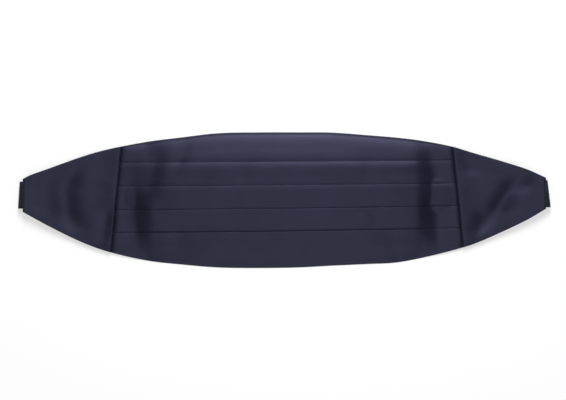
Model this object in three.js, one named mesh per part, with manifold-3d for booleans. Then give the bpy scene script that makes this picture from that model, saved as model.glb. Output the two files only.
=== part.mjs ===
// A satin cummerbund, fastened behind and lying flat with its face up.
// Millimetres. +X runs along the garment, +Y towards the edge that is worn upwards, +Z up from the surface.
// The origin is on the surface, under the middle of the garment.
import * as THREE from "three";
import { mergeVertices } from "three/addons/utils/BufferGeometryUtils.js";
import Module from "manifold-3d";

// Cloth and clearances.
const clothWall = 1.0; // satin with its interfacing
const clearance = 0.3; // between layers, and between pieces at a seam
const layerPitch = clothWall + clearance; // from one layer of folded cloth to the next
const pleatDepth = 9; // how far a pleat's cloth runs back under its fold
const hemWidth = 8; // cloth turned under along the top and bottom edges

// Straps and clasp.
const halfLength = 250; // from the middle to the outside of a strap's turn
const strapWidth = 25.4;
const strapWall = 1.0;
const turnHeight = 10; // outside height of the strap where it turns under at each end
const strapTailStart = 221; // where the strap's sewn end lies under the wing
const strapFoldLength = 20; // strap folded back round a clasp bar and sewn
const clasp = {
  x: -52, // where the eye ends and the hook begins
  y: 5.35, // middle of the strap where it is fastened
  wall: 1.0,
  width: 31,
  frameLength: 9, // the part of each half that holds its strap
  corner: 1.6,
  bar: 2.2, // metal left at the ends of each slot
  slotWidth: 26.6,
  slotLength: 3.4,
  tongueWidth: 12,
  tongueSlotLength: 4.2,
  tongueSlotPlay: 1.4,
};

// How the garment lies.
const crownHeight = 4.4; // the front lies over the strap in the middle and comes down at its edges
const crownSpan = 0.95; // share of the front's width that arches, the rest being flat on the surface
const flatReach = 120; // the ends start to rise this far from the middle
const liftCurve = 1.3; // how slowly that rise begins
const wingEnd = 245; // where a wing stops and only its strap goes on
const seamRise = 1.6; // seam allowances under the wing lift its edge
const seamRiseReach = 9;

// Each row is one cross-section of the satin: the heights of its top and bottom edges.
const sections = [
  { x: -245, top: 19.7, bottom: -11.0 },
  { x: -238, top: 23.4, bottom: -15.0 },
  { x: -221, top: 29.6, bottom: -24.4 },
  { x: -196, top: 38.8, bottom: -37.0 },
  { x: -176, top: 45.2, bottom: -45.2 },
  { x: -155, top: 50.1, bottom: -51.4 },
  { x: -127, top: 55.3, bottom: -57.3 },
  { x: -98, top: 58.9, bottom: -60.5 },
  { x: -62, top: 63.0, bottom: -63.4 },
  { x: -20, top: 63.8, bottom: -63.9 },
  { x: 15, top: 63.8, bottom: -63.3 },
  { x: 45, top: 63.6, bottom: -61.7 },
  { x: 80, top: 61.0, bottom: -60.1 },
  { x: 104, top: 59.0, bottom: -58.9 },
  { x: 127, top: 56.3, bottom: -54.9 },
  { x: 156, top: 50.8, bottom: -47.9 },
  { x: 178, top: 44.2, bottom: -41.2 },
  { x: 203, top: 36.9, bottom: -30.4 },
  { x: 228, top: 28.7, bottom: -18.2 },
  { x: 245, top: 20.9, bottom: -8.0 },
];

// Each row is one pleat's fold, from the top: its height at the left seam, the middle and the right seam.
const pleatFolds = [
  { left: 35.4, middle: 36.3, right: 37.6 },
  { left: 13.2, middle: 14.2, right: 16.0 },
  { left: -9.3, middle: -7.8, right: -5.5 },
  { left: -30.6, middle: -29.3, right: -26.2 },
];

// A seam joins the front to a wing: where it crosses y = 0, and how far it leans in x for each mm of y.
const seams = {
  left: { x: -158, lean: 0.1 },
  right: { x: 163, lean: -0.105 },
};

// A strap leaves its wing at this height, and its turn is slanted: the top corner stands back by slant.
const strapEnds = {
  left: { side: -1, y: 4.7, slant: 1.5 },
  right: { side: 1, y: 6.0, slant: 3.0 },
};

const lerp = THREE.MathUtils.lerp;
const smooth = (from, to, value) => THREE.MathUtils.smoothstep(value, from, to);

// A column of the sections table at any x, as a smooth curve through its rows.
function sectionAt(column, x) {
  const last = sections.length - 1;
  const found = sections.findIndex((row) => row.x >= x);
  const i = THREE.MathUtils.clamp(found < 0 ? last : found, 1, last);
  const [a, b] = [sections[i - 1], sections[i]];
  const slope = (k) => {
    const [p, q] = [sections[Math.max(k - 1, 0)], sections[Math.min(k + 1, last)]];
    return (q[column] - p[column]) / (q.x - p.x);
  };
  const span = b.x - a.x;
  const t = THREE.MathUtils.clamp((x - a.x) / span, 0, 1);
  const bend = t * t * (3 - 2 * t);
  const out = (t * t * t - 2 * t * t + t) * span * slope(i - 1);
  const into = (t * t * t - t * t) * span * slope(i);
  return lerp(a[column], b[column], bend) + out + into;
}

// The height of the surface that the lowest layer of satin lies on.
function underside(x, y) {
  const lifted = THREE.MathUtils.clamp((Math.abs(x) - flatReach) / (wingEnd - flatReach), 0, 1);
  const rise = lifted ** liftCurve;
  const [top, bottom] = [sectionAt("top", x), sectionAt("bottom", x)];
  const across = (2 * y - top - bottom) / (top - bottom) / crownSpan;
  const crown = crownHeight * (1 - rise) * Math.max(0, 1 - across * across);
  return (turnHeight + clearance) * rise + crown;
}

// A closed solid between two grids of points, each a list of rows.
// The front grid is seen with rows running away from its first point and columns to the left of them.
function wallBetween(front, back) {
  const rows = front.length;
  const columns = front[0].length;
  const points = [...front.flat(), ...back.flat()];
  const half = rows * columns;
  const at = (i, j) => i * columns + j;
  const faces = [];
  const quad = (a, b, c, d) => faces.push(a, b, c, a, c, d);
  for (let i = 0; i < rows - 1; i++) {
    for (let j = 0; j < columns - 1; j++) {
      quad(at(i, j), at(i + 1, j), at(i + 1, j + 1), at(i, j + 1));
      quad(half + at(i, j), half + at(i, j + 1), half + at(i + 1, j + 1), half + at(i + 1, j));
    }
  }
  for (let i = 0; i < rows - 1; i++) {
    quad(at(i, 0), half + at(i, 0), half + at(i + 1, 0), at(i + 1, 0));
    const j = columns - 1;
    quad(at(i, j), at(i + 1, j), half + at(i + 1, j), half + at(i, j));
  }
  for (let j = 0; j < columns - 1; j++) {
    quad(at(0, j), at(0, j + 1), half + at(0, j + 1), half + at(0, j));
    const i = rows - 1;
    quad(at(i, j), half + at(i, j), half + at(i, j + 1), at(i, j + 1));
  }
  const geometry = new THREE.BufferGeometry().setFromPoints(points);
  geometry.setIndex(faces);
  return geometry;
}

// A pen that draws the middle line of folded cloth as { y, h, ny, nh }: h is the height over the underside,
// and n points out of the satin's face.
function clothPen() {
  const line = [];
  const height = (level) => clothWall / 2 + layerPitch * level;
  return {
    line,
    // A straight stretch, drawn towards +y (facing up) or -y (facing down).
    to(y, level, facing) {
      line.push({ y, h: height(level), ny: 0, nh: facing });
    },
    // A half turn between two layers. The angles are in degrees, and outward is 1 where the face is outside.
    turn(foldY, level, from, to, outward) {
      const radius = layerPitch / 2;
      const side = Math.sign(Math.cos(THREE.MathUtils.degToRad((from + to) / 2)));
      const middleY = foldY - side * (radius + clothWall / 2);
      for (let k = 0; k <= 3; k++) {
        const angle = THREE.MathUtils.degToRad(lerp(from, to, k / 3));
        const [c, s] = [Math.cos(angle), Math.sin(angle)];
        line.push({
          y: middleY + radius * c,
          h: height(level) + radius * s,
          ny: outward * c,
          nh: outward * s,
        });
      }
    },
    // A stretch that climbs from one level to another.
    climb(fromY, toY, fromLevel, toLevel) {
      for (let k = 0; k <= 3; k++) {
        const level = lerp(fromLevel, toLevel, smooth(0, 1, k / 3));
        this.to(lerp(fromY, toY, k / 3), level, 1);
      }
    },
  };
}

// The pleated front's cross-section, drawn from the bottom hem to the top hem.
function pleatedLine(top, bottom, folds) {
  const pen = clothPen();
  pen.to(bottom + hemWidth, 0, -1);
  pen.turn(bottom, 0.5, 270, 90, 1);
  let from = { y: bottom + hemWidth, level: 1 };
  for (const fold of [...folds].reverse()) {
    pen.climb(from.y, fold - pleatDepth, from.level, 2);
    pen.turn(fold, 1.5, 90, -90, 1);
    pen.turn(fold - pleatDepth, 0.5, 90, 270, -1);
    from = { y: fold + 1, level: 0 };
  }
  pen.climb(from.y, top - hemWidth, 0, 1);
  pen.turn(top, 0.5, 90, -90, 1);
  pen.to(top - hemWidth, 0, -1);
  return pen.line;
}

// A wing's cross-section: a single layer with both edges turned under.
function wingLine(top, bottom, hem) {
  const pen = clothPen();
  pen.to(bottom + hem, 0, -1);
  pen.turn(bottom, 0.5, 270, 90, 1);
  pen.climb(bottom + hem, bottom + 1.5 * hem, 1, 0.4);
  pen.climb(top - 1.5 * hem, top - hem, 0.4, 1);
  pen.turn(top, 0.5, 90, -90, 1);
  pen.to(top - hem, 0, -1);
  return pen.line;
}

// Satin swept through cross-sections: each has its x at y = 0, its lean, its line and its extra height.
function satin(stations) {
  const grid = (side) =>
    stations.map(({ x, lean, line, raise }) =>
      line.map((p) => {
        const y = p.y + (side * p.ny * clothWall) / 2;
        const along = x + lean * y;
        const z = underside(along, y) + raise + p.h + (side * p.nh * clothWall) / 2;
        return new THREE.Vector3(along, y, z);
      }),
    );
  return wallBetween(grid(1), grid(-1));
}

// The section's edge heights where a leaning station crosses them.
function edgesAt(x, lean) {
  const edge = (column) => sectionAt(column, x + lean * sectionAt(column, x));
  return [edge("top"), edge("bottom")];
}

function pleatedFront() {
  const [start, end] = [seams.left.x + clearance / 2, seams.right.x - clearance / 2];
  const inner = sections.map((row) => row.x).filter((x) => x > start + 8 && x < end - 8);
  const stations = [start, ...inner, end].map((x) => {
    const share = (x - start) / (end - start);
    const lean = lerp(seams.left.lean, seams.right.lean, share);
    const [top, bottom] = edgesAt(x, lean);
    const folds = pleatFolds.map(({ left, middle, right }) => {
      const bow = middle - (left + right) / 2;
      return lerp(left, right, share) + bow * 4 * share * (1 - share);
    });
    return { x, lean, line: pleatedLine(top, bottom, folds), raise: 0 };
  });
  return satin(stations);
}

function wing(name) {
  const seam = seams[name];
  const side = strapEnds[name].side;
  const start = seam.x + (side * clearance) / 2;
  const end = side * wingEnd;
  const outer = sections.map((row) => row.x).filter((x) => side * (x - start) > 12 && side * (end - x) > 2);
  const xs = [start, start + side * 4, start + (side * seamRiseReach), ...outer, end].sort((a, b) => a - b);
  const stations = xs.map((x) => {
    const share = (x - start) / (end - start);
    const lean = seam.lean * (1 - share);
    const [top, bottom] = edgesAt(x, lean);
    const hem = Math.min(hemWidth, (top - bottom) / 4);
    const raise = seamRise * (1 - smooth(0, seamRiseReach, side * (x - start)));
    return { x, lean, line: wingLine(top, bottom, hem), raise };
  });
  return satin(stations);
}

// A strap, drawn from its sewn end under the wing, round its turn, along the surface and round a clasp bar.
function strap(name, barX) {
  const { side, y: endY, slant } = strapEnds[name];
  const turnRadius = (turnHeight - strapWall) / 2;
  const turnX = halfLength - turnHeight / 2;
  const line = []; // x measured outwards; under is true where the strap follows the wing
  for (const x of [strapTailStart, 229, 237, turnX]) {
    line.push({ x, z: 0, nx: 0, nz: 1, under: true });
  }
  for (let k = 1; k < 8; k++) {
    const angle = Math.PI / 2 - (Math.PI * k) / 8;
    const [c, s] = [Math.cos(angle), Math.sin(angle)];
    line.push({ x: turnX + turnRadius * c, z: turnHeight / 2 + turnRadius * s, nx: c, nz: s });
  }
  const bottom = strapWall / 2;
  const bar = side * barX; // the bar's middle, measured outwards like the line
  const barRadius = clasp.wall / 2 + clearance + strapWall / 2;
  const reach = clasp.bar / 2; // the strap runs straight past half the bar before it turns
  for (const x of [turnX, 180, 110, bar + strapFoldLength, bar]) {
    line.push({ x, z: bottom, nx: 0, nz: -1 });
  }
  for (let k = 0; k <= 4; k++) {
    const angle = -Math.PI / 2 - (Math.PI * k) / 4;
    const [c, s] = [Math.cos(angle), Math.sin(angle)];
    line.push({ x: bar - reach + barRadius * c, z: bottom + barRadius * (1 + s), nx: c, nz: s });
  }
  line.push({ x: bar + reach, z: bottom + 2 * barRadius, nx: 0, nz: 1 });
  const sewn = bottom + strapWall + clearance;
  line.push({ x: bar + reach + 5, z: sewn, nx: 0, nz: 1 });
  line.push({ x: bar + reach + strapFoldLength, z: sewn, nx: 0, nz: 1 });

  const across = [0, 0.25, 0.5, 0.75, 1];
  const grid = (face) =>
    line.map((p) =>
      across.map((share) => {
        const middle = lerp(clasp.y, endY, THREE.MathUtils.clamp(p.x / halfLength, 0, 1));
        const y = middle + strapWidth * (share - 0.5);
        const back = slant * share * smooth(halfLength - 3 * turnHeight, turnX, p.x);
        const x = side * (p.x - back + (face * p.nx * strapWall) / 2);
        const middleZ = p.under ? underside(x, y) - clearance - strapWall / 2 : p.z;
        return new THREE.Vector3(x, y, middleZ + (face * p.nz * strapWall) / 2);
      }),
    );
  return side > 0 ? wallBetween(grid(1), grid(-1)) : wallBetween(grid(-1), grid(1));
}

const wasm = await Module();
wasm.setup();

function solidOf(geometry) {
  const bare = geometry.index ? geometry.toNonIndexed() : geometry.clone();
  bare.deleteAttribute("normal");
  bare.deleteAttribute("uv");
  const merged = mergeVertices(bare, 1e-4);
  return new wasm.Manifold(
    new wasm.Mesh({
      numProp: 3,
      vertProperties: merged.attributes.position.array,
      triVerts: new Uint32Array(merged.index.array),
    }),
  );
}

function geometryOf(solid) {
  const { vertProperties, triVerts } = solid.getMesh();
  const geometry = new THREE.BufferGeometry();
  geometry.setAttribute("position", new THREE.BufferAttribute(vertProperties, 3));
  geometry.setIndex(new THREE.BufferAttribute(triVerts, 1));
  return geometry;
}

// A rectangle with its corners rounded, from its low corner to its high corner.
function roundedRectangle(Shape, [x0, y0], [x1, y1], radius) {
  const shape = new Shape();
  shape.absarc(x0 + radius, y0 + radius, radius, Math.PI, 1.5 * Math.PI);
  shape.absarc(x1 - radius, y0 + radius, radius, 1.5 * Math.PI, 2 * Math.PI);
  shape.absarc(x1 - radius, y1 - radius, radius, 0, 0.5 * Math.PI);
  shape.absarc(x0 + radius, y1 - radius, radius, 0.5 * Math.PI, Math.PI);
  shape.closePath();
  return shape;
}

// A flat plate of the clasp with slots through it, lying at the height of the bars inside the strap's folds.
const plateLow = strapWall + clearance;
const plateHigh = plateLow + clasp.wall;

function plate(startX, endX, slots) {
  const corners = (x0, x1, width) => [
    [x0, clasp.y - width / 2],
    [x1, clasp.y + width / 2],
  ];
  const outline = roundedRectangle(THREE.Shape, ...corners(startX, endX, clasp.width), clasp.corner);
  outline.holes = slots.map(({ x, length, width }) =>
    roundedRectangle(THREE.Path, ...corners(x, x + length, width), length / 6),
  );
  const geometry = new THREE.ExtrudeGeometry(outline, {
    depth: clasp.wall,
    bevelEnabled: false,
    curveSegments: 3,
  });
  return geometry.translate(0, 0, plateLow);
}

// The eye lies to the left of clasp.x and the hook to the right.
const eyeStart = clasp.x - clasp.frameLength - clasp.tongueSlotLength - 1;
const hookStart = clasp.x + 2 * clearance;
const hookEnd = hookStart + clasp.frameLength;
const eyeBarX = eyeStart + clasp.bar / 2;
const hookBarX = hookEnd - clasp.bar / 2;

function claspEye() {
  const strapSlot = { x: eyeStart + clasp.bar, length: clasp.slotLength, width: clasp.slotWidth };
  const tongueSlot = {
    x: clasp.x - clasp.bar - clasp.tongueSlotLength,
    length: clasp.tongueSlotLength,
    width: clasp.tongueWidth + clasp.tongueSlotPlay,
  };
  return plate(eyeStart, clasp.x, [strapSlot, tongueSlot]);
}

// The hook's tongue steps up over the eye's end bar, and its lip drops into the eye's slot.
function claspHook() {
  const strapSlot = {
    x: hookEnd - clasp.bar - clasp.slotLength,
    length: clasp.slotLength,
    width: clasp.slotWidth,
  };
  const frame = plate(hookStart, hookEnd, [strapSlot]);
  const root = hookStart + clasp.bar;
  const step = hookStart + 0.2;
  const lipEnd = clasp.x - clasp.bar - 1.5;
  const lipStart = lipEnd + clasp.wall;
  const lipLow = plateLow + 0.3;
  const under = plateHigh + clearance;
  const over = under + clasp.wall;
  const sideView = new THREE.Shape(
    [
      [root, plateLow + 0.2],
      [root, plateHigh],
      [root - 0.6, over],
      [lipEnd, over],
      [lipEnd, lipLow],
      [lipStart, lipLow],
      [lipStart, under],
      [step, under],
      [step, plateLow + 0.2],
    ].map(([x, z]) => new THREE.Vector2(x, z)),
  );
  const tongue = new THREE.ExtrudeGeometry(sideView, { depth: clasp.tongueWidth, bevelEnabled: false });
  tongue.rotateX(Math.PI / 2);
  tongue.translate(0, clasp.y + clasp.tongueWidth / 2, 0);
  return geometryOf(solidOf(frame).add(solidOf(tongue)));
}

const satinFinish = { color: 0x262734, roughness: 0.42, metalness: 0 };
const strapFinish = { color: 0x1b1d24, roughness: 0.75, metalness: 0 };
const claspFinish = { color: 0x151518, roughness: 0.5, metalness: 0 };

const cummerbund = new THREE.Group();

function addPiece(name, geometry, finish) {
  geometry.computeVertexNormals();
  const mesh = new THREE.Mesh(geometry, new THREE.MeshStandardMaterial(finish));
  mesh.name = name;
  cummerbund.add(mesh);
}

addPiece("pleated_front", pleatedFront(), satinFinish);
addPiece("wing_left", wing("left"), satinFinish);
addPiece("wing_right", wing("right"), satinFinish);
addPiece("strap_left", strap("left", eyeBarX), strapFinish);
addPiece("strap_right", strap("right", hookBarX), strapFinish);
addPiece("clasp_eye", claspEye(), claspFinish);
addPiece("clasp_hook", claspHook(), claspFinish);

export default cummerbund;
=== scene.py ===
# A navy satin cummerbund, fastened behind and laid flat with its face up
import math
import bpy
import numpy as np
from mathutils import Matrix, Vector


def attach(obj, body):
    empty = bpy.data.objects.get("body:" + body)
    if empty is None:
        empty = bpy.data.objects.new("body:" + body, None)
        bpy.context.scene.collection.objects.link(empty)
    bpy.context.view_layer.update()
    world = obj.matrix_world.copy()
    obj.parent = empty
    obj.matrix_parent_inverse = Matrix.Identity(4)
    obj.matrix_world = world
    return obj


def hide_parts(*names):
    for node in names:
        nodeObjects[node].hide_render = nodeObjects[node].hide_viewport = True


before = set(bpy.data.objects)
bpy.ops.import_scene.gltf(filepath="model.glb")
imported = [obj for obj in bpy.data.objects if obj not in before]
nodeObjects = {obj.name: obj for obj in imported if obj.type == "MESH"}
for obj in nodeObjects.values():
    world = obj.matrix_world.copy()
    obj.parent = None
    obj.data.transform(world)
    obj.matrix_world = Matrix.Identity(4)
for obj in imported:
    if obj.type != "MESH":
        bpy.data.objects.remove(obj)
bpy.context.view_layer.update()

mm = 0.001  # lengths below are millimetres, and the meshes are metres


garment = {
    "crown": 4.6,         # the front arches this high over the strap
    "crownSpan": 0.97,    # share of the front's width that arches
    "plateauEnd": 122,    # the front stays up this far from the middle, then falls towards its seams
    "valleyAt": 153,      # lowest place, just inside the seams
    "valleyDrop": 0.62,   # share of the crown lost there
    "wingFlatten": 0.8,   # share of the crown lost by the end of a wing
    "liftStart": 128,     # the wings rise from here to their ends
    "wingEnd": 245,
    "liftHeight": 10.2,
    "liftCurve": 1.25,
    "calmEdge": 1.15,     # dents and ripples fade as the square of the distance across nears this
    "lowest": 0.02,
    "strapFloor": 2.0,    # where the strap runs, the lying surface is no lower than this above the table
    "strapMiddle": 5.4,
    "strapReach": 17,
    "rippleHeight": 0.05,
    "rippleCount": 26,
    "rippleLength": 16,   # shortest wave
    "rippleSpread": 44,   # the longest is this much longer
    "dropFade": 4,        # a dent's drop dies away over this many of its widths
}

# Each row is one cross-section: the heights of the top and bottom edges at that x
sections = [
    {"x": -245, "top": 19.7, "bottom": -11.0},
    {"x": -238, "top": 23.4, "bottom": -15.0},
    {"x": -221, "top": 29.6, "bottom": -24.4},
    {"x": -196, "top": 38.8, "bottom": -37.0},
    {"x": -176, "top": 45.2, "bottom": -45.2},
    {"x": -155, "top": 50.1, "bottom": -51.4},
    {"x": -127, "top": 55.3, "bottom": -57.3},
    {"x": -98, "top": 58.9, "bottom": -60.5},
    {"x": -62, "top": 63.0, "bottom": -63.4},
    {"x": -20, "top": 63.8, "bottom": -63.9},
    {"x": 15, "top": 63.8, "bottom": -63.3},
    {"x": 45, "top": 63.6, "bottom": -61.7},
    {"x": 80, "top": 61.0, "bottom": -60.1},
    {"x": 104, "top": 59.0, "bottom": -58.9},
    {"x": 127, "top": 56.3, "bottom": -54.9},
    {"x": 156, "top": 50.8, "bottom": -47.9},
    {"x": 178, "top": 44.2, "bottom": -41.2},
    {"x": 203, "top": 36.9, "bottom": -30.4},
    {"x": 228, "top": 28.7, "bottom": -18.2},
    {"x": 245, "top": 20.9, "bottom": -8.0},
]

# Soft dents pressed in. lean is in x for each mm of y; trough is a hollow's depth, and drop is
# how far the cloth falls on its right side, or on its left side where it is negative
dents = [
    {"x": -122, "y": 29, "lean": 0.14, "length": 28, "width": 8, "trough": 0.6, "drop": -1.4},
    {"x": -138, "y": -20, "lean": -0.05, "length": 28, "width": 7.5, "trough": 0.6, "drop": -1.2},
    {"x": -127, "y": 50, "lean": 0.1, "length": 12, "width": 6, "trough": 0.38, "drop": -0.3},
    {"x": -95, "y": 44, "lean": 0.35, "length": 16, "width": 6, "trough": 0.36, "drop": -0.16},
    {"x": -38, "y": 26, "lean": 0.1, "length": 8, "width": 7, "trough": 0.16, "drop": 0},
    {"x": -38, "y": -55, "lean": 0.05, "length": 12, "width": 6, "trough": 0.34, "drop": 0},
    {"x": -100, "y": -46, "lean": 0, "length": 18, "width": 8, "trough": 0.28, "drop": 0},
    {"x": 138, "y": 30, "lean": -0.1, "length": 42, "width": 8, "trough": 0.7, "drop": 1.9},
    {"x": 141, "y": -24, "lean": -0.2, "length": 26, "width": 8, "trough": 0.7, "drop": 1.7},
    {"x": 85, "y": -18, "lean": 0.1, "length": 12, "width": 7, "trough": 0.26, "drop": 0.16},
    {"x": 103, "y": -48, "lean": -0.1, "length": 14, "width": 6, "trough": 0.38, "drop": 0.16},
    {"x": 78, "y": 28, "lean": 0.1, "length": 14, "width": 7, "trough": 0.2, "drop": 0},
    {"x": -198, "y": 30, "lean": 0.25, "length": 15, "width": 10, "trough": 1.3, "drop": 0},
    {"x": -205, "y": -8, "lean": -0.15, "length": 34, "width": 13, "trough": 2, "drop": -0.4},
    {"x": -169, "y": -27, "lean": 0.2, "length": 18, "width": 7, "trough": 0.9, "drop": 0},
    {"x": -233, "y": 6, "lean": 0, "length": 20, "width": 6, "trough": 0.35, "drop": 0},
    {"x": 172, "y": 38, "lean": -0.3, "length": 13, "width": 9, "trough": 1, "drop": 0},
    {"x": 206, "y": 0, "lean": 0.62, "length": 30, "width": 10, "trough": 2, "drop": 0},
    {"x": 184, "y": -22, "lean": 0.1, "length": 14, "width": 8, "trough": 0.8, "drop": 0.2},
    {"x": 227, "y": 20, "lean": 0.5, "length": 14, "width": 8, "trough": 0.6, "drop": 0.3},
]


def column(rows, name):
    return np.array([row[name] for row in rows], dtype=float)


def through(rows, name, x):
    # Cubic Hermite curve through a table's column, its slope at each row taken from the rows beside it
    xs, ys = column(rows, "x"), column(rows, name)
    slopes = np.empty_like(ys)
    slopes[1:-1] = (ys[2:] - ys[:-2]) / (xs[2:] - xs[:-2])
    slopes[0] = (ys[1] - ys[0]) / (xs[1] - xs[0])
    slopes[-1] = (ys[-1] - ys[-2]) / (xs[-1] - xs[-2])
    i = np.clip(np.searchsorted(xs, x) - 1, 0, len(xs) - 2)
    span = xs[i + 1] - xs[i]
    t = np.clip((x - xs[i]) / span, 0, 1)
    held = ys[i] + (ys[i + 1] - ys[i]) * t * t * (3 - 2 * t)
    return held + span * ((t ** 3 - 2 * t ** 2 + t) * slopes[i] + (t ** 3 - t ** 2) * slopes[i + 1])


def smooth(low, high, value):
    # 3t^2 - 2t^3, where t is how far value is from low to high
    t = np.clip((value - low) / (high - low), 0, 1)
    return t * t * (3 - 2 * t)


rippleWaves = np.random.default_rng(7).uniform(size=(garment["rippleCount"], 4))


def ripple(x, y):
    # A sum of slow cosine waves in all directions: cloth is never quite flat
    total = np.zeros_like(x)
    for length, heading, phase, share in rippleWaves:
        k = 2 * math.pi / (garment["rippleLength"] + garment["rippleSpread"] * length)
        a = math.pi * heading
        total += (0.3 + share) * np.cos(k * (x * math.cos(a) + y * math.sin(a)) + 2 * math.pi * phase)
    return garment["rippleHeight"] * total / 3


def dentsAt(x, y):
    # Each dent: -trough * exp(-u^2) - drop * (1 + tanh u) / 2, where u is the distance across it over
    # its width, and v is the distance along it over its length. exp(-v^4) fades both out along the
    # dent, and exp(-u / dropFade) fades the drop out beyond it
    total = np.zeros_like(x)
    for dent in dents:
        v = (y - dent["y"]) / dent["length"]
        u = (x - dent["x"] - dent["lean"] * (y - dent["y"])) / dent["width"]
        fade = np.exp(-v ** 4)
        beyond = u if dent["drop"] > 0 else -u
        step = (1 + np.tanh(beyond)) / 2 - 1 + np.exp(-np.maximum(beyond, 0) / garment["dropFade"])
        total -= fade * (dent["trough"] * np.exp(-u * u) + abs(dent["drop"]) * step)
    return total


def lie(x, y):
    # Height of the surface under the satin: crown * (1 - across^2), less past the plateau, plus
    # liftHeight * lifted^liftCurve along the wings, with the dents and the ripple on it
    far = np.abs(x)
    top, bottom = through(sections, "top", x), through(sections, "bottom", x)
    across = (2 * y - top - bottom) / (top - bottom) / garment["crownSpan"]
    arch = np.maximum(0, 1 - across ** 2)
    lifted = np.clip((far - garment["liftStart"]) / (garment["wingEnd"] - garment["liftStart"]), 0, 1)
    plateau = 1 - garment["valleyDrop"] * smooth(garment["plateauEnd"], garment["valleyAt"], far)
    arched = garment["crown"] * plateau * (1 - garment["wingFlatten"] * lifted) * arch
    rise = garment["liftHeight"] * lifted ** garment["liftCurve"]
    inside = np.clip(garment["calmEdge"] - across ** 2, 0, 1)
    uneven = (dentsAt(x, y) + ripple(x, y)) * inside
    overStrap = garment["strapFloor"] * np.exp(-((y - garment["strapMiddle"]) / garment["strapReach"]) ** 4)
    return np.maximum(arched + rise + uneven, garment["lowest"] + overStrap)


def makeObject(name, points, faces, uvs, material):
    mesh = bpy.data.meshes.new(name)
    mesh.from_pydata((points * mm).tolist(), [], faces.tolist())
    layer = mesh.uv_layers.new(name="cloth")
    corners = np.asarray(faces).reshape(-1)
    layer.data.foreach_set("uv", uvs[corners].astype(np.float32).reshape(-1) * mm)
    mesh.polygons.foreach_set("use_smooth", np.ones(len(faces), dtype=bool))
    mesh.materials.append(material)
    mesh.update()
    piece = bpy.data.objects.new(name, mesh)
    bpy.context.scene.collection.objects.link(piece)
    return piece


def gridFaces(rows, columns, start, turned):
    # The quads between neighbouring points of a grid whose points are numbered row by row
    index = start + np.arange(rows * columns).reshape(rows, columns)
    a, b, c, d = index[:-1, :-1], index[1:, :-1], index[1:, 1:], index[:-1, 1:]
    quads = np.stack([a, d, c, b] if turned else [a, b, c, d], axis=-1)
    return quads.reshape(-1, 4)


def closedWall(name, face, back, uv, material, turned=False):
    # Two grids, the cloth's face and its back, joined round their four edges
    rows, columns = face.shape[:2]
    half = rows * columns
    index = np.arange(half).reshape(rows, columns)
    rim = np.concatenate([index[:, 0], index[-1, 1:], index[-2::-1, -1], index[0, -2:0:-1]])
    after = np.roll(rim, -1)
    sides = np.stack([rim, rim + half, after + half, after], axis=-1)
    if turned:
        sides = sides[:, ::-1]
    faces = np.concatenate([
        gridFaces(rows, columns, 0, turned),
        gridFaces(rows, columns, half, not turned),
        sides,
    ])
    points = np.concatenate([face.reshape(half, 3), back.reshape(half, 3)])
    uvs = np.concatenate([uv.reshape(half, 2)] * 2)
    return makeObject(name, points, faces, uvs, material)


def alongPath(points):
    # Distance walked from the first column to each other one
    steps = np.linalg.norm(np.diff(points, axis=1), axis=-1)
    return np.concatenate([np.zeros((points.shape[0], 1)), np.cumsum(steps, axis=1)], axis=1)


class Fold:
    # Draws a cross-section of folded cloth, one column of points at a time, for every station at once
    # A column is y, height over the lying surface, and the face's direction as (ny, nh)
    def __init__(self, stations):
        self.ones = np.ones(stations)
        self.columns = []

    def put(self, y, height, ny, nh):
        self.columns.append([self.ones * y, self.ones * height, self.ones * ny, self.ones * nh])

    def flat(self, fromY, toY, height, count, facing):
        # A level stretch, up to the point before toY
        for k in range(count):
            self.put(fromY + (toY - fromY) * k / count, height, 0, facing)

    def turn(self, edgeY, low, high, side, upwards, count=5):
        # A half circle whose outside reaches edgeY, between the two heights
        radius = (high - low) / 2
        middle = edgeY - side * (radius + satinCloth["thickness"] / 2)
        for k in range(count + 1):
            a = math.pi * (k / count - 0.5) * (1 if upwards else -1)
            c, s = side * math.cos(a), math.sin(a)
            self.put(middle + radius * c, (low + high) / 2 + radius * s, c, s)

    def grids(self):
        y, height, ny, nh = [np.stack(part, axis=1) for part in zip(*self.columns)]
        return y, height, ny, nh


def colour(text):
    # An sRGB hex value as linear light
    parts = [int(text[i:i + 2], 16) / 255 for i in (1, 3, 5)]
    return tuple(c / 12.92 if c <= 0.04045 else ((c + 0.055) / 1.055) ** 2.4 for c in parts) + (1,)


def add(tree, kind, inputs=None, **settings):
    # One node with its settings; an input is a value, or the socket that is linked to it
    made = tree.nodes.new(kind)
    for name, value in settings.items():
        setattr(made, name, value)
    for name, value in (inputs or {}).items():
        if isinstance(value, bpy.types.NodeSocket):
            tree.links.new(value, made.inputs[name])
        else:
            made.inputs[name].default_value = value
    return made


def newMaterial(name):
    material = bpy.data.materials.new(name)
    material.use_nodes = True
    material.node_tree.nodes.clear()
    return material, material.node_tree


def setRamp(ramp, *stops):
    for element, (position, text) in zip(ramp.color_ramp.elements, stops):
        element.position, element.color = position, colour(text)


def finish(tree, surface):
    add(tree, "ShaderNodeOutputMaterial", {"Surface": surface.outputs[0]})


satinLook = {
    "dark": "#10111c", "light": "#171927", "roughness": (0.33, 0.41),
    "slubLength": 45, "slubWidth": 0.9, "slubHeight": 0.04,
    "threadPitch": 0.55, "threadHeight": 0.06,   # real threads are 0.1 mm; this is as fine as shows
    "cloudSize": 26,
    "specular": 0.36, "tint": "#cdcfff", "anisotropic": 0.3, "turn": 0.25,
    "sheen": 0.02, "sheenTint": "#8f97c8",
}


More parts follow.
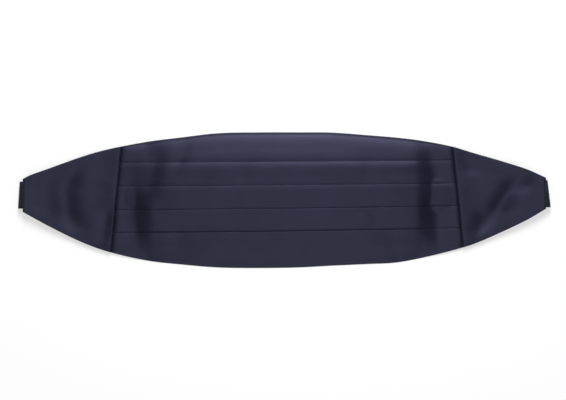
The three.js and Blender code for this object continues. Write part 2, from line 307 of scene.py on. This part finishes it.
def satinMaterial():
    # Polyester satin: long warp floats that run along the garment give a smooth, silky gloss, spread
    # across the threads, with faint streaks where a thread is thicker
    look = satinLook
    material, tree = newMaterial("navyPolyesterSatin")
    uv = add(tree, "ShaderNodeUVMap", uv_map="cloth")
    streakScale = (1 / (look["slubLength"] * mm), 1 / (look["slubWidth"] * mm), 1)
    streakPlace = add(tree, "ShaderNodeMapping", {"Vector": uv.outputs[0], "Scale": streakScale})
    streak = add(tree, "ShaderNodeTexNoise",
                 {"Vector": streakPlace.outputs[0], "Scale": 1.0, "Detail": 3.0, "Roughness": 0.6})
    spot = add(tree, "ShaderNodeTexCoord")
    cloud = add(tree, "ShaderNodeTexNoise",
                {"Vector": spot.outputs["Object"], "Scale": 1 / (look["cloudSize"] * mm), "Detail": 2.0})
    blend = add(tree, "ShaderNodeMath", {0: streak.outputs[0], 1: cloud.outputs[0]}, operation="ADD")
    half = add(tree, "ShaderNodeMath", {0: blend.outputs[0], 1: 0.5}, operation="MULTIPLY")
    tone = add(tree, "ShaderNodeValToRGB", {"Fac": half.outputs[0]})
    setRamp(tone, (0.36, look["dark"]), (0.64, look["light"]))
    low, high = look["roughness"]
    rough = add(tree, "ShaderNodeMapRange", {"Value": streak.outputs[0], "From Min": 0.3, "From Max": 0.7,
                                             "To Min": low, "To Max": high})
    weavePlace = add(tree, "ShaderNodeMapping",
                     {"Vector": uv.outputs[0], "Rotation": (0, 0, math.radians(90))})
    weave = add(tree, "ShaderNodeTexWave",
                {"Vector": weavePlace.outputs[0], "Scale": 1 / (look["threadPitch"] * mm) / math.pi,
                 "Distortion": 1.5, "Detail": 1.0, "Detail Scale": 2.0}, wave_type="BANDS")
    weaveBump = add(tree, "ShaderNodeBump",
                    {"Strength": 0.05, "Distance": look["threadHeight"] * mm, "Height": weave.outputs[0]})
    slubBump = add(tree, "ShaderNodeBump",
                   {"Strength": 0.25, "Distance": look["slubHeight"] * mm, "Height": streak.outputs[0],
                    "Normal": weaveBump.outputs[0]})
    tangent = add(tree, "ShaderNodeTangent", direction_type="UV_MAP", uv_map="cloth")
    surface = add(tree, "ShaderNodeBsdfPrincipled", {
        "Base Color": tone.outputs[0], "Roughness": rough.outputs[0], "Normal": slubBump.outputs[0],
        "Tangent": tangent.outputs[0], "IOR": 1.5, "Specular IOR Level": look["specular"],
        "Specular Tint": colour(look["tint"]), "Anisotropic": look["anisotropic"],
        "Anisotropic Rotation": look["turn"], "Sheen Weight": look["sheen"], "Sheen Roughness": 0.4,
        "Sheen Tint": colour(look["sheenTint"])})
    finish(tree, surface)
    return material


webbingLook = {
    "dark": "#0c1013", "light": "#141a1f", "roughness": 0.72, "specular": 0.25,
    "ribPitch": 1.1, "ribHeight": 0.25, "grainSize": 2.2,
    "sheen": 0.02, "sheenTint": "#8aa0ad",
}


def webbingMaterial():
    # Ribbed polyester webbing: woven, matt and nearly black, with a rib across it every millimetre
    look = webbingLook
    material, tree = newMaterial("ribbedPolyesterWebbing")
    uv = add(tree, "ShaderNodeUVMap", uv_map="cloth")
    ribScale = math.pi / (look["ribPitch"] * mm) / 10  # bands repeat every pi / 10 over the scale
    rib = add(tree, "ShaderNodeTexWave",
              {"Vector": uv.outputs[0], "Scale": ribScale, "Distortion": 0.4}, wave_type="BANDS")
    grain = add(tree, "ShaderNodeTexNoise",
                {"Vector": uv.outputs[0], "Scale": 1 / (look["grainSize"] * mm), "Detail": 4.0})
    tone = add(tree, "ShaderNodeValToRGB", {"Fac": grain.outputs[0]})
    setRamp(tone, (0.35, look["dark"]), (0.7, look["light"]))
    bump = add(tree, "ShaderNodeBump",
               {"Strength": 0.6, "Distance": look["ribHeight"] * mm, "Height": rib.outputs[0]})
    surface = add(tree, "ShaderNodeBsdfPrincipled", {
        "Base Color": tone.outputs[0], "Roughness": look["roughness"], "Normal": bump.outputs[0],
        "Sheen Weight": look["sheen"], "Sheen Roughness": 0.5, "Sheen Tint": colour(look["sheenTint"]),
        "Specular IOR Level": look["specular"]})
    finish(tree, surface)
    return material


enamelLook = {
    "dark": "#0c0c0e", "light": "#17171a", "roughness": (0.22, 0.42), "markSize": 3, "markHeight": 0.05,
}


def enamelMaterial():
    # Black enamelled steel: stamped and dipped, smooth with a soft gloss and small marks from handling
    look = enamelLook
    material, tree = newMaterial("blackEnamelledSteel")
    spot = add(tree, "ShaderNodeTexCoord")
    marks = add(tree, "ShaderNodeTexNoise",
                {"Vector": spot.outputs["Object"], "Scale": 1 / (look["markSize"] * mm), "Detail": 5.0,
                 "Roughness": 0.65})
    low, high = look["roughness"]
    rough = add(tree, "ShaderNodeMapRange", {"Value": marks.outputs[0], "From Min": 0.35, "From Max": 0.7,
                                             "To Min": low, "To Max": high})
    tone = add(tree, "ShaderNodeValToRGB", {"Fac": marks.outputs[0]})
    setRamp(tone, (0.3, look["dark"]), (0.75, look["light"]))
    bump = add(tree, "ShaderNodeBump",
               {"Strength": 0.2, "Distance": look["markHeight"] * mm, "Height": marks.outputs[0]})
    surface = add(tree, "ShaderNodeBsdfPrincipled", {
        "Base Color": tone.outputs[0], "Roughness": rough.outputs[0], "Normal": bump.outputs[0]})
    finish(tree, surface)
    return material


satin = satinMaterial()
webbing = webbingMaterial()
enamel = enamelMaterial()
print("materials made")


satinCloth = {"thickness": 0.36, "layer": 0.40}

front = {
    "stations": 200,
    "openWidth": 127.4,  # from its bottom edge to its top edge, as it lies
    "hem": 8,
    "pleatDepth": 9,     # cloth running back under each fold
    "restDepth": 15,     # how far below its fold a pleat still rides over the layers under it
    "sink": 0.5, "sinkReach": 1.1,
    "foldPuff": 0.36,    # soft roll of the cloth just below its fold
    "foldGap": 0.62,     # the fold's open loop
    "foldSquash": 0.5,   # the loop's depth, as a share of a round one's
    "bandStart": 0.5,    # the next band starts this far under the fold
    "topSwell": 0.35,    # the top band rises this much in the middle
    "tuck": 0.8,         # the ends run this far under the wings
    "press": 0.9, "pressReach": 2.4,  # and are pressed down there
    "hemInner": 5, "hemOuter": 9,     # a hem's layer fades from this far inside its edge to this far past it
    "bandSteps": 26, "topSteps": 34, "turnSteps": 6, "pleatSteps": 4,
}

# Each row is one pleat's fold, from the top: its height at the left seam, the middle and the right seam
pleatFolds = [
    {"left": 35.4, "middle": 36.3, "right": 37.6},
    {"left": 13.2, "middle": 14.2, "right": 16.0},
    {"left": -9.3, "middle": -7.8, "right": -5.5},
    {"left": -30.6, "middle": -29.3, "right": -26.2},
]

# Each seam crosses y = 0 at x, and leans in x for each mm of y
seams = {"left": {"x": -158, "lean": 0.1}, "right": {"x": 163, "lean": -0.105}}


def edgesOf(x, lean):
    # The edges' heights where a leaning station crosses them
    return [through(sections, name, x + lean * through(sections, name, x)) for name in ("top", "bottom")]


def layCloth(y, height, ny, nh, x, lean, raised):
    # Puts cross-sections in place: x leans with y, and the face and back are half a thickness from the line
    sides = []
    for way in (1, -1):
        sideY = y + way * ny * satinCloth["thickness"] / 2
        sideX = x[:, None] + lean[:, None] * sideY
        z = lie(sideX, sideY) + raised + height + way * nh * satinCloth["thickness"] / 2
        sides.append(np.stack([sideX, sideY, z], axis=-1))
    return sides


def bandTop(below, length):
    # Height of a band below its fold: two layers ride under it and fade out, and the cloth rolls softly
    # up just below the fold and sinks again before the next one
    ride = 2 * satinCloth["layer"] * (1 - smooth(1, front["restDepth"], below))
    t = np.clip(below / length, 0, 1)
    roll = front["foldPuff"] * np.sin(math.pi * t ** 0.7) ** 2
    return ride + roll


def sinkAt(above):
    # The cloth sinks a little where the next pleat's fold lies on it
    return -front["sink"] * np.exp(-np.maximum(above, 0) / front["sinkReach"])


def pleatedFront():
    start, end = seams["left"]["x"] - front["tuck"], seams["right"]["x"] + front["tuck"]
    share = np.linspace(0, 1, front["stations"])
    x = start + (end - start) * share
    lean = seams["left"]["lean"] + (seams["right"]["lean"] - seams["left"]["lean"]) * share
    top, bottom = edgesOf(x, lean)
    folds = []
    for row in pleatFolds:
        bow = row["middle"] - (row["left"] + row["right"]) / 2
        folds.append(row["left"] + (row["right"] - row["left"]) * share + bow * 4 * share * (1 - share))
    layer = satinCloth["layer"]
    base = satinCloth["thickness"] / 2
    hemIn, hemOut = front["hem"] - front["hemInner"], front["hem"] + front["hemOuter"]
    pen = Fold(front["stations"])
    # Drawn from the bottom hem to the top hem; steps of 1 or 2 mm here only space the rows of points
    pen.flat(bottom + front["hem"], bottom + 1, base, 5, -1)
    pen.turn(bottom, base, base + layer, -1, True)
    lowY, hemmed = bottom + 1, True
    for fold in folds[::-1]:
        steps = front["bandSteps"]
        highY = fold - front["foldGap"] / 2 - satinCloth["thickness"] / 2
        length = fold - lowY
        for k in range(1, steps + 1):
            t = (1 - math.cos(math.pi * k / steps)) / 2
            y = lowY + (highY - lowY) * t
            hem = layer * (1 - smooth(hemIn, hemOut, y - bottom)) if hemmed else 0
            sink = 0 if hemmed else sinkAt(y - lowY - front["bandStart"])
            pen.put(y, base + hem + bandTop(fold - y, length) + sink, 0, 1)
        foldTop = base + bandTop(fold - highY, length)
        foldLow = base + layer
        radius = (foldTop - foldLow) / 2
        for k in range(1, front["turnSteps"] + 1):
            a = math.pi * (0.5 - k / front["turnSteps"])
            c, s = math.cos(a), math.sin(a)
            pen.put(highY + radius * c * front["foldSquash"], foldLow + radius * (1 + s), c, s)
        deepest = fold - front["pleatDepth"]
        pen.flat(fold - 2, deepest + 1, foldLow, front["pleatSteps"], -1)
        for k in range(front["pleatSteps"] + 1):
            a = math.pi * (0.5 + k / front["pleatSteps"])
            c, s = math.cos(a), math.sin(a)
            pen.put(deepest + 0.6 + layer / 2 * c, base + layer / 2 * (1 + s), -c, -s)
        pen.flat(deepest + 1.5, fold - front["bandStart"], base, front["pleatSteps"], 1)
        lowY, hemmed = fold - front["bandStart"], False
    steps = front["topSteps"]
    highY = top - layer / 2 - satinCloth["thickness"] / 2
    for k in range(1, steps):
        t = k / steps
        y = lowY + (highY - lowY) * t
        hem = layer * smooth(-hemOut, -hemIn, y - top)
        swell = front["topSwell"] * math.sin(math.pi * t)
        pen.put(y, base + hem + swell + sinkAt(y - lowY - front["bandStart"]), 0, 1)
    pen.turn(top, base, base + layer, 1, False)
    pen.flat(top - 1, top - front["hem"], base, 5, -1)
    pen.put(top - front["hem"], base, 0, -1)
    y, height, ny, nh = pen.grids()
    # The ends are pressed down where they are sewn under the wings
    pressed = -front["press"] * np.exp(-np.minimum(x - start, end - x) / front["pressReach"])
    face, back = layCloth(y, height, ny, nh, x, lean, pressed[:, None])
    walked = alongPath(face)
    uv = np.stack([face[..., 0], walked], axis=-1)
    return closedWall("pleatedFrontSatin", face, back, uv, satin)


frontPiece = pleatedFront()
print("pleated front made")


wing = {
    "nearSeam": [0.0, 0.12, 0.45, 0.9, 1.5, 2.3, 3.3, 4.5],  # stations where the edge rounds over
    "farFrom": 6,        # evenly spaced from here
    "stations": 78,
    "rows": 84, "rowInset": 0.7,
    "hem": 8, "hemInner": 5, "hemOuter": 8,
    "seamHeight": 1.9,   # the turned edge stands this high over the front's layers
    "seamReach": 16,     # and settles within this distance
    "seamCurve": 1.5,
    "edgeDrop": 1.3, "edgeRoll": 1.6,
    "endDrop": 0.9, "endRoll": 1.2,
}


def roundedOff(distance, roll):
    # A quarter circle: 1 - sqrt(1 - (1 - distance / roll)^2), which is 1 at the edge and 0 past the roll
    return 1 - np.sqrt(1 - np.clip(1 - distance / roll, 0, 1) ** 2)


def wingPiece(name, side):
    seam = seams[name]
    reach = abs(side * garment["wingEnd"] - seam["x"])
    away = np.concatenate([wing["nearSeam"], np.linspace(wing["farFrom"], reach, wing["stations"])])
    x = seam["x"] + side * away
    full = away[-1]
    lean = seam["lean"] * (1 - away / full)
    top, bottom = edgesOf(x, lean)
    hem = np.minimum(wing["hem"], (top - bottom) / 4)
    layer, base = satinCloth["layer"], satinCloth["thickness"] / 2
    pen = Fold(len(x))
    pen.flat(bottom + hem, bottom + 1, base, 4, -1)
    pen.turn(bottom, base, base + layer, -1, True)
    lowY, highY = bottom + wing["rowInset"], top - wing["rowInset"]
    hemIn, hemOut = hem - wing["hemInner"], hem + wing["hemOuter"]
    for k in range(1, wing["rows"]):
        y = lowY + (highY - lowY) * k / wing["rows"]
        edge = np.maximum(1 - smooth(hemIn, hemOut, y - bottom), smooth(-hemOut, -hemIn, y - top))
        pen.put(y, base + layer * edge, 0, 1)
    pen.turn(top, base, base + layer, 1, False)
    pen.flat(top - 1, top - hem, base, 4, -1)
    pen.put(top - hem, base, 0, -1)
    y, height, ny, nh = pen.grids()
    # The seam edge rounds over and stands on the front's pleats, and the far end rounds down to the strap
    ridge = wing["seamHeight"] * np.exp(-(away / wing["seamReach"]) ** wing["seamCurve"])
    seamRound = wing["edgeDrop"] * roundedOff(away, wing["edgeRoll"])
    endRound = wing["endDrop"] * roundedOff(full - away, wing["endRoll"])
    raised = (ridge - seamRound - endRound)[:, None]
    face, back = layCloth(y, height, ny, nh, x, lean, raised)
    uv = np.stack([face[..., 0], alongPath(face)], axis=-1)
    return closedWall("wing" + name.capitalize() + "Satin", face, back, uv, satin, turned=side < 0)


leftWing = wingPiece("left", -1)
rightWing = wingPiece("right", 1)
print("wings made")


strap = {
    "halfLength": 250, "width": 25.4, "thickness": 1.0, "turnHeight": 10,
    "tailStart": 221,    # the sewn end lies under the wing from here
    "tailLift": 10,      # and after this much starts to rise to the turn
    "runInset": 4,
    "foldBack": 20, "foldSettle": 5,  # the end folded back round the clasp, and where it lies flat again
    "across": 13, "tailSteps": 12, "turnSteps": 20, "runSteps": 60, "loopSteps": 10, "foldSteps": 12,
}
clasp = {"x": -52, "y": 5.35, "wall": 1.0, "frameLength": 9, "tongueSlot": 4.2, "bar": 2.2, "gap": 0.3}
strapEnds = {
    "left": {"side": -1, "y": 4.7, "slant": 1.5},
    "right": {"side": 1, "y": 6.0, "slant": 3.0},
}


def strapPiece(name, barX):
    # A flat ribbon carried along a path of x (outwards) and z: under the wing, round the turn, along the
    # surface, and round its clasp bar
    end = strapEnds[name]
    side, thick = end["side"], strap["thickness"]
    turnX = strap["halfLength"] - strap["turnHeight"] / 2
    radius = (strap["turnHeight"] - thick) / 2
    tailX = np.linspace(strap["tailStart"], turnX, strap["tailSteps"])
    tail = np.stack([tailX, 0 * tailX, 0 * tailX, 0 * tailX + 1, 0 * tailX + 1], axis=1)
    a = math.pi / 2 - np.linspace(0, math.pi, strap["turnSteps"] + 1)[1:]
    turn = np.stack([turnX + radius * np.cos(a), strap["turnHeight"] / 2 + radius * np.sin(a),
                     np.cos(a), np.sin(a), 0 * a], axis=1)
    bar = side * barX
    runX = np.linspace(turnX - strap["runInset"], bar - clasp["bar"] / 2, strap["runSteps"])
    run = np.stack([runX, 0 * runX + thick / 2, 0 * runX, 0 * runX - 1, 0 * runX], axis=1)
    barRadius = clasp["wall"] / 2 + clasp["gap"] + thick / 2
    b = -math.pi / 2 - np.linspace(0, math.pi, strap["loopSteps"] + 1)[1:]
    loop = np.stack([bar - clasp["bar"] / 2 + barRadius * np.cos(b),
                     thick / 2 + barRadius * (1 + np.sin(b)), np.cos(b), np.sin(b), 0 * b], axis=1)
    foldStart = bar + clasp["bar"] / 2
    foldX = np.linspace(foldStart, foldStart + strap["foldBack"], strap["foldSteps"])
    sink = smooth(0, strap["foldSettle"], foldX - foldX[0])
    foldZ = thick / 2 + 2 * barRadius + (thick + clasp["gap"] - 2 * barRadius) * sink
    fold = np.stack([foldX, foldZ, 0 * foldX, 0 * foldX + 1, 0 * foldX], axis=1)
    path = np.concatenate([tail, turn, run, loop, fold])
    px, pz, nx, nz, under = [path[:, i][:, None] for i in range(5)]
    share = np.linspace(0, 1, strap["across"])[None, :]
    middle = clasp["y"] + (end["y"] - clasp["y"]) * np.clip(px / strap["halfLength"], 0, 1)
    y = middle + strap["width"] * (share - 0.5)
    back = end["slant"] * share * smooth(strap["halfLength"] - 3 * strap["turnHeight"], turnX, px)
    sides = []
    for way in (1, -1):
        x = side * (px - back + way * nx * thick / 2)
        tailZ = lie(x, y) - clasp["gap"] - thick / 2
        blend = smooth(strap["tailStart"] + strap["tailLift"], turnX, px)
        topZ = strap["turnHeight"] - thick / 2
        z = np.where(under > 0, tailZ * (1 - blend) + topZ * blend, pz) + way * nz * thick / 2
        sides.append(np.stack([x, y + 0 * x, z], axis=-1))
    face, back = sides
    walked = alongPath(np.swapaxes(face, 0, 1)).T
    uv = np.stack([walked, y + 0 * walked], axis=-1)
    return closedWall("strap" + name.capitalize() + "Webbing", face, back, uv, webbing, turned=side < 0)


eyeStart = clasp["x"] - clasp["frameLength"] - clasp["tongueSlot"] - 1
hookEnd = clasp["x"] + 2 * clasp["gap"] + clasp["frameLength"]
leftStrap = strapPiece("left", eyeStart + clasp["bar"] / 2)
rightStrap = strapPiece("right", hookEnd - clasp["bar"] / 2)
for name in ("clasp_eye", "clasp_hook"):
    plate = nodeObjects[name]
    plate.data.materials.clear()
    plate.data.materials.append(enamel)
print("straps and clasp made")


for piece, cadNode, slotName in (
    (frontPiece, "pleated_front", "satin"),
    (leftWing, "wing_left", "satin"),
    (rightWing, "wing_right", "satin"),
    (leftStrap, "strap_left", "webbing"),
    (rightStrap, "strap_right", "webbing"),
):
    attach(piece, "root")
    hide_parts(cadNode)


studio = {
    "floorSize": 6.0,
    "floorShade": 0.5, "floorGlow": 0.52,  # together plain white, with shadows as light as a white room's
    "camera": (-0.0013, 0.0001, 1.7), "viewWidth": 0.5329, "sensor": 36,
    "horizon": 0.85, "zenith": 0.05,  # light of the room from the sides and from above
    "horizonEnd": 0.25, "zenithStart": 0.95,
}

# Metres and watts; each lamp faces the middle of the object
lamps = [
    {"name": "keySoftbox", "place": (0.03, 0.95, 1.25), "size": (0.4, 0.8), "power": 19},
    {"name": "overheadSoftbox", "place": (0.02, -0.2, 2.4), "size": (0.8, 1.0), "power": 4.2},
    {"name": "frontReflector", "place": (0.04, -0.62, 1.5), "size": (0.9, 0.5), "power": 3.0},
]


def floorMaterial():
    # Matt white paper with a faint fibre: plain white to the camera, with a soft shadow, and the paper's
    # own tone to everything else
    material, tree = newMaterial("whitePaper")
    ray = add(tree, "ShaderNodeLightPath")
    fibre = add(tree, "ShaderNodeTexNoise", {"Scale": 900.0, "Detail": 2.0})
    paper = add(tree, "ShaderNodeMapRange", {"Value": fibre.outputs[0], "To Min": 0.80, "To Max": 0.84})
    seen = add(tree, "ShaderNodeMapRange", {"Value": ray.outputs["Is Camera Ray"], "To Min": paper.outputs[0],
                                            "To Max": studio["floorShade"]})
    diffuse = add(tree, "ShaderNodeBsdfDiffuse", {"Color": seen.outputs[0]})
    glow = add(tree, "ShaderNodeEmission", {"Strength": studio["floorGlow"]})
    none = add(tree, "ShaderNodeEmission", {"Strength": 0.0})
    shown = add(tree, "ShaderNodeMixShader",
                {0: ray.outputs["Is Camera Ray"], 1: none.outputs[0], 2: glow.outputs[0]})
    surface = add(tree, "ShaderNodeAddShader", {0: diffuse.outputs[0], 1: shown.outputs[0]})
    finish(tree, surface)
    return material


floorMesh = bpy.data.meshes.new("paperFloor")
half = studio["floorSize"] / 2
floorMesh.from_pydata([(-half, -half, 0), (half, -half, 0), (half, half, 0), (-half, half, 0)], [],
                      [(0, 1, 2, 3)])
floorMesh.materials.append(floorMaterial())
floor = bpy.data.objects.new("paperFloor", floorMesh)
bpy.context.scene.collection.objects.link(floor)


for row in lamps:
    light = bpy.data.lights.new(row["name"], "AREA")
    light.shape = "RECTANGLE"
    light.size, light.size_y = row["size"]
    light.energy = row["power"]
    lamp = bpy.data.objects.new(row["name"], light)
    lamp.location = row["place"]
    lamp.rotation_euler = (-Vector(row["place"])).to_track_quat("-Z", "Y").to_euler()
    lamp.visible_camera = False
    bpy.context.scene.collection.objects.link(lamp)

world = bpy.data.worlds.new("paleStudio")
bpy.context.scene.world = world
world.use_nodes = True
worldTree = world.node_tree
worldTree.nodes.clear()
sky = add(worldTree, "ShaderNodeTexCoord")
up = add(worldTree, "ShaderNodeSeparateXYZ", {0: sky.outputs["Generated"]})
ramp = add(worldTree, "ShaderNodeMapRange",
           {"Value": up.outputs[2], "From Min": studio["horizonEnd"], "From Max": studio["zenithStart"],
            "To Min": studio["horizon"], "To Max": studio["zenith"]}, interpolation_type="SMOOTHSTEP")
ray = add(worldTree, "ShaderNodeLightPath")
shownSky = add(worldTree, "ShaderNodeMath", {0: ray.outputs["Is Camera Ray"], 1: ramp.outputs[0]},
               operation="MAXIMUM")
backdrop = add(worldTree, "ShaderNodeBackground", {"Strength": shownSky.outputs[0]})
add(worldTree, "ShaderNodeOutputWorld", {"Surface": backdrop.outputs[0]})

cameraData = bpy.data.cameras.new("topCamera")
cameraData.sensor_width = studio["sensor"]
cameraData.lens = studio["sensor"] * studio["camera"][2] / studio["viewWidth"]
camera = bpy.data.objects.new("topCamera", cameraData)
camera.location = studio["camera"]
bpy.context.scene.collection.objects.link(camera)
bpy.context.scene.camera = camera
bpy.context.scene.view_settings.view_transform = "Standard"
print("floor, lights and camera made")
